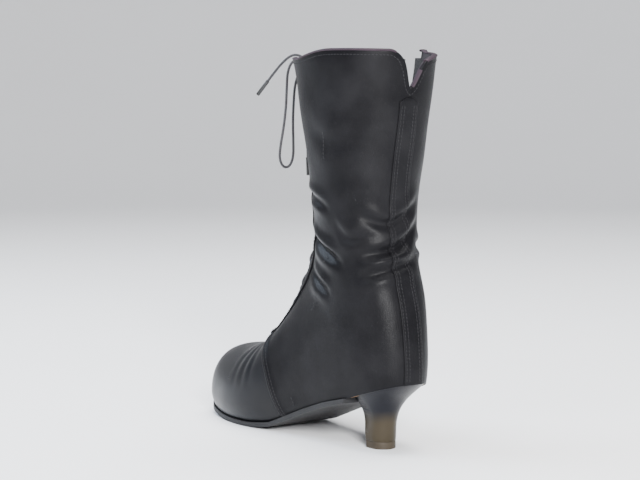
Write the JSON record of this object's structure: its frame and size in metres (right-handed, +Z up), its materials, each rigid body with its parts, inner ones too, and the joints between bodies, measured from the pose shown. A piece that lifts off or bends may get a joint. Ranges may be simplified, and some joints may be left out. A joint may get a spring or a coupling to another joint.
{
  "type": "ankle boot",
  "caption": "Black leather lace-up ankle boot for the left foot, with a small waisted heel, criss-cross front laces and a partly open inner side zip.",
  "frame": {"origin": "middle of the heel tip's ground face", "axes": "+Z up the shaft from the ground; +Y towards the toe; +X to the inner (medial) side of this left boot"},
  "size_m": [0.0934, 0.2515, 0.297],
  "materials": {
    "upper_leather": "semi-gloss smooth black leather",
    "shaft_leather": "soft satin black leather",
    "lining_fabric": "matte woven black lining",
    "stiffener": "matte fibre sheet",
    "sole": "matte black rubber",
    "insole_board": "pressed cellulose board",
    "foam": "soft foam",
    "filler": "granulated cork",
    "heel_plastic": "moulded plastic",
    "heel_cover": "glossy covered heel",
    "tip_rubber": "hard dark rubber",
    "steel": "plain steel",
    "eyelet_metal": "dark nickel",
    "lace_cord": "woven round cord",
    "tag_plastic": "clear black plastic",
    "zip_tape": "woven tape",
    "zip_coil": "nylon coil",
    "zip_metal": "dark nickel"
  },
  "bodies": {
    "boot": {"vamp": "upper_leather", "outer_quarter": "shaft_leather", "inner_front_quarter": "shaft_leather", "inner_rear_quarter": "shaft_leather", "toe_puff": "stiffener", "heel_counter": "stiffener", "vamp_lining": "lining_fabric", "outer_lining": "lining_fabric", "inner_front_lining": "lining_fabric", "inner_rear_lining": "lining_fabric", "inner_facing": "upper_leather", "outer_facing": "upper_leather", "backstay": "upper_leather", "tongue": "shaft_leather", "eyelets": "eyelet_metal", "lace_outer_start": "lace_cord", "lace_inner_start": "lace_cord", "bow_knot": "lace_cord", "outer_loop": "lace_cord", "inner_loop": "lace_cord", "outer_end": "lace_cord", "inner_end": "lace_cord", "outer_tag": "tag_plastic", "inner_tag": "tag_plastic", "outsole": "sole", "shank_rivets": "steel", "heel_screw": "steel", "heel_nails": "steel", "shank": "steel", "bottom_filler": "filler", "insole_board": "insole_board", "insole_foam": "foam", "sock_lining": "lining_fabric", "heel_block": "heel_plastic", "heel_cover": "heel_cover", "top_piece": "tip_rubber", "tip_dowel": "steel", "zip_tape_front": "zip_tape", "zip_tape_rear": "zip_tape", "zip_teeth_front": "zip_coil", "zip_teeth_rear": "zip_coil", "zip_bottom_stop": "zip_metal", "zip_top_stops": "zip_metal"},
    "slider": {"zip_slider": "zip_metal"},
    "pull": {"zip_pull": "zip_metal"}
  },
  "joints": [
    {"name": "zip_slide", "type": "slide", "parent": "boot", "child": "slider", "axis": [0.0967, 0, 0.9953], "range_m": [-0.044, 0]},
    {"name": "pull_swing", "type": "hinge", "parent": "slider", "child": "pull", "pos_m": [0.04058, 0.025, 0.20427], "axis": [0, -1, 0], "range_deg": [0, 160]}
  ]
}
